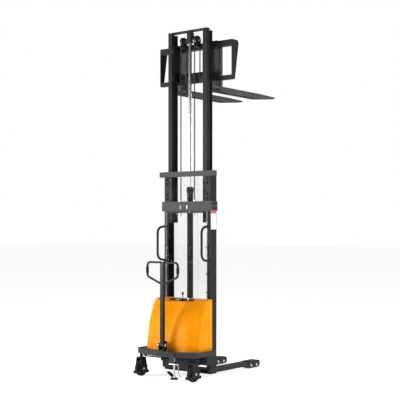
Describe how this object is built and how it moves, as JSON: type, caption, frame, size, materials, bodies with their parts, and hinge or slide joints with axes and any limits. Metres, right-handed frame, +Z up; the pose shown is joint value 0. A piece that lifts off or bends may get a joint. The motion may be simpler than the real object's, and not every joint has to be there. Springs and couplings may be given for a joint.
{
  "type": "walkie stacker",
  "caption": "Pedestrian stacker with a two-stage lift mast drawn fully raised, adjustable forks, straddle legs, a steering tiller and an orange-yellow power unit cover.",
  "frame": {"origin": "on the floor, under the middle of the outline of the truck with its mast raised", "axes": "+X across the truck to the operator's right, +Y from the operator towards the fork tips, +Z up"},
  "size_m": [0.958, 1.692, 3.555],
  "materials": {
    "mast_paint": "satin dark grey powder coat",
    "beam_paint": "mid grey powder coat",
    "frame_paint": "satin dark grey powder coat",
    "tray_paint": "grey powder coat",
    "cylinder_paint": "satin dark grey paint",
    "fork_paint": "satin dark grey paint",
    "handle_paint": "semi-gloss black paint",
    "caster_paint": "black paint",
    "motor_black": "black paint",
    "cover_yellow": "glossy orange-yellow shell",
    "black_plastic": "moulded black plastic",
    "battery_case": "moulded black plastic",
    "pale_nylon": "off-white nylon",
    "clear_guard": "clear polycarbonate sheet",
    "black_fastener": "blackened steel",
    "bright_steel": "zinc-plated steel",
    "roller_steel": "oiled bearing steel",
    "chain_steel": "oiled chain steel",
    "chrome": "hard chrome",
    "rubber_grip": "soft rubber",
    "rubber_pad": "rubber",
    "tyre_black": "solid black rubber tyre",
    "hub_black": "black nylon hub",
    "load_roller": "polyurethane load roller"
  },
  "bodies": {
    "root": {"outer_upright_left": "mast_paint", "outer_upright_right": "mast_paint", "mast_top_beam": "beam_paint", "mast_mid_beam": "beam_paint", "guide_pads": "pale_nylon", "mast_foot_members": "frame_paint", "straddle_legs": "frame_paint", "frame_roller_axles": "bright_steel", "cylinder_barrel": "cylinder_paint", "cylinder_gland": "cylinder_paint", "cylinder_clamp": "frame_paint", "chain_anchor_bolts": "bright_steel", "chain_front_falls": "chain_steel", "chassis_tray": "tray_paint", "power_unit_cover": "cover_yellow", "dashboard": "black_plastic", "battery": "battery_case", "pump_motor": "motor_black", "oil_tank": "frame_paint", "hydraulic_pipe": "bright_steel", "grab_handles": "handle_paint", "mast_guard": "clear_guard", "guard_bolts": "black_fastener", "brake_bracket": "tray_paint", "brake_spring": "bright_steel"},
    "inner_mast": {"inner_upright_left": "mast_paint", "inner_upright_right": "mast_paint", "inner_mast_ties": "mast_paint", "pulley_crosshead": "mast_paint", "piston_rod": "chrome", "inner_mast_axles": "bright_steel", "chain_wraps": "chain_steel"},
    "carriage": {"carriage_frame": "mast_paint", "fork_left": "fork_paint", "fork_right": "fork_paint", "chain_rear_falls": "chain_steel"},
    "sheaves": {"chain_sheaves": "roller_steel"},
    "upper_mast_rollers": {"mast_rollers_upper": "roller_steel"},
    "lower_mast_rollers": {"mast_rollers_lower": "roller_steel"},
    "high_carriage_rollers": {"carriage_rollers_high": "roller_steel"},
    "low_carriage_rollers": {"carriage_rollers_low": "roller_steel"},
    "tiller_swivel_base": {"tiller_base": "handle_paint"},
    "tiller": {"tiller_pole": "handle_paint", "tiller_loop": "handle_paint", "tiller_grips": "rubber_grip"},
    "tie_rod": {"steering_tie_rod": "frame_paint"},
    "caster_left": {"caster_yoke_left": "caster_paint"},
    "caster_right": {"caster_yoke_right": "caster_paint"},
    "caster_wheel_left": {"caster_tyre_left": "tyre_black", "caster_hub_left": "hub_black"},
    "caster_wheel_right": {"caster_tyre_right": "tyre_black", "caster_hub_right": "hub_black"},
    "front_load_rollers": {"load_rollers_front": "load_roller"},
    "rear_load_rollers": {"load_rollers_rear": "load_roller"},
    "floor_brake": {"brake_spindle": "chrome", "brake_pad": "rubber_pad", "brake_pedal": "caster_paint"},
    "brake_release": {"brake_release_lever": "bright_steel"},
    "lift_lever": {"lift_lever": "black_plastic"},
    "key": {"key_switch": "bright_steel"}
  },
  "joints": [
    {"name": "mast_lift", "type": "slide", "parent": "root", "child": "inner_mast", "axis": [0, 0, 1], "range_m": [-1.443, 0], "deforming": ["chain_front_falls"]},
    {"name": "carriage_lift", "type": "slide", "parent": "inner_mast", "child": "carriage", "axis": [0, 0, 1], "range_m": [-1.443, 0], "deforming": ["chain_rear_falls"]},
    {"name": "sheave_turn", "type": "hinge", "parent": "inner_mast", "child": "sheaves", "pos_m": [0, -0.361, 3.447], "axis": [1, 0, 0], "range_deg": [-1841, 0]},
    {"name": "upper_roller_turn", "type": "hinge", "parent": "root", "child": "upper_mast_rollers", "pos_m": [0, -0.366, 1.997], "axis": [1, 0, 0], "range_deg": [0, 2070]},
    {"name": "lower_roller_turn", "type": "hinge", "parent": "inner_mast", "child": "lower_mast_rollers", "pos_m": [0, -0.366, 1.632], "axis": [1, 0, 0], "range_deg": [-2070, 0]},
    {"name": "high_carriage_roller_turn", "type": "hinge", "parent": "carriage", "child": "high_carriage_rollers", "pos_m": [0, -0.366, 3.37], "axis": [1, 0, 0], "range_deg": [0, 2070]},
    {"name": "low_carriage_roller_turn", "type": "hinge", "parent": "carriage", "child": "low_carriage_rollers", "pos_m": [0, -0.366, 3.08], "axis": [1, 0, 0], "range_deg": [-2070, 0]},
    {"name": "tiller_swivel", "type": "hinge", "parent": "root", "child": "tiller_swivel_base", "pos_m": [0, -0.808, 0.29], "axis": [0, 0, 1], "range_deg": [-40, 40]},
    {"name": "tiller_tilt", "type": "hinge", "parent": "tiller_swivel_base", "child": "tiller", "pos_m": [0, -0.808, 0.345], "axis": [1, 0, 0], "range_deg": [0, 70], "stiffness_Nm_per_rad": 45, "springref_deg": -22.92},
    {"name": "tie_rod_swing", "type": "hinge", "parent": "tiller_swivel_base", "child": "tie_rod", "pos_m": [0, -0.733, 0.2], "axis": [0, 0, 1], "range_deg": [-40, 40]},
    {"name": "caster_steer_left", "type": "hinge", "parent": "root", "child": "caster_left", "pos_m": [-0.342, -0.742, 0.25], "axis": [0, 0, 1], "range_deg": [-40, 40]},
    {"name": "caster_steer_right", "type": "hinge", "parent": "root", "child": "caster_right", "pos_m": [0.342, -0.742, 0.25], "axis": [0, 0, 1], "range_deg": [-40, 40]},
    {"name": "caster_roll_left", "type": "hinge", "parent": "caster_left", "child": "caster_wheel_left", "pos_m": [-0.342, -0.742, 0.08], "axis": [1, 0, 0], "continuous": true},
    {"name": "caster_roll_right", "type": "hinge", "parent": "caster_right", "child": "caster_wheel_right", "pos_m": [0.342, -0.742, 0.08], "axis": [1, 0, 0], "continuous": true},
    {"name": "front_load_roll", "type": "hinge", "parent": "root", "child": "front_load_rollers", "pos_m": [0, 0.45, 0.036], "axis": [1, 0, 0], "continuous": true},
    {"name": "rear_load_roll", "type": "hinge", "parent": "root", "child": "rear_load_rollers", "pos_m": [0, 0.35, 0.036], "axis": [1, 0, 0], "continuous": true},
    {"name": "brake_press", "type": "slide", "parent": "root", "child": "floor_brake", "axis": [0, 0, 1], "range_m": [-0.016, 0], "stiffness_N_per_m": 900, "springref_m": 0.05, "deforming": ["brake_spring"]},
    {"name": "brake_release_pull", "type": "hinge", "parent": "root", "child": "brake_release", "pos_m": [0.175, -0.789, 0.182], "axis": [0, 1, 0], "range_deg": [0, 10], "stiffness_Nm_per_rad": 0.6, "springref_deg": -34.38},
    {"name": "lift_lever_tilt", "type": "hinge", "parent": "root", "child": "lift_lever", "pos_m": [0.027, -0.52, 0.758], "axis": [1, 0, 0], "range_deg": [-15, 15], "stiffness_Nm_per_rad": 0.6},
    {"name": "key_turn", "type": "hinge", "parent": "root", "child": "key", "pos_m": [0.092, -0.514, 0.778], "axis": [0, 0, 1], "range_deg": [0, 90]}
  ],
  "couplings": [
    {"joint": "carriage_lift", "follows": "mast_lift", "ratio": 1},
    {"joint": "sheave_turn", "follows": "mast_lift", "rad_per_m": 22.222},
    {"joint": "upper_roller_turn", "follows": "mast_lift", "rad_per_m": -25},
    {"joint": "lower_roller_turn", "follows": "mast_lift", "rad_per_m": 25},
    {"joint": "high_carriage_roller_turn", "follows": "mast_lift", "rad_per_m": -25},
    {"joint": "low_carriage_roller_turn", "follows": "mast_lift", "rad_per_m": 25},
    {"joint": "tie_rod_swing", "follows": "tiller_swivel", "ratio": -1},
    {"joint": "caster_steer_left", "follows": "tiller_swivel", "ratio": 1},
    {"joint": "caster_steer_right", "follows": "tiller_swivel", "ratio": 1}
  ]
}
